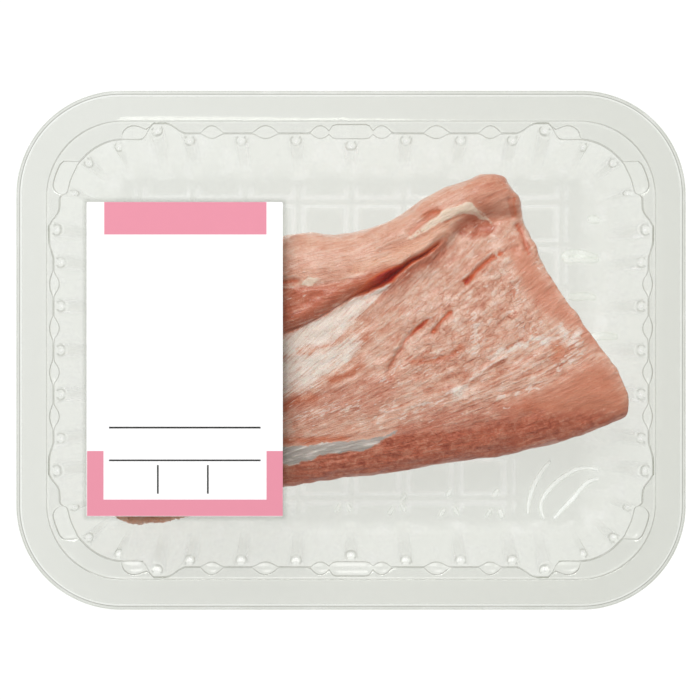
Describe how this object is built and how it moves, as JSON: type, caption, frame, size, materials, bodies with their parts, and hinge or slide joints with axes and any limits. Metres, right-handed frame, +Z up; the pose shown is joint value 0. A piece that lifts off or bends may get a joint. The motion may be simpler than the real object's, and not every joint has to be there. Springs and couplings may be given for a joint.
{
  "type": "packed raw pork tenderloin",
  "caption": "Raw pork tenderloin in a clear moulded tray with a fluted wall and a flanged rim, sealed under clear film with a paper label.",
  "frame": {"origin": "on the surface that the pack stands on, under the middle of the tray", "axes": "+X along the tray's length, towards the end without the label; +Y across it, towards the label's top edge; +Z up, through the film"},
  "size_m": [0.227, 0.176, 0.041],
  "materials": {
    "tray_plastic": "clear thermoformed plastic, glossy",
    "pork": "moist raw pork, pink with pale connective tissue",
    "lidding_film": "clear film, glossy",
    "label_paper": "coated white paper with plain pink fields and thin rules"
  },
  "bodies": {
    "root": {"tray": "tray_plastic", "tenderloin": "pork", "top_film": "lidding_film", "label": "label_paper"}
  },
  "joints": []
}
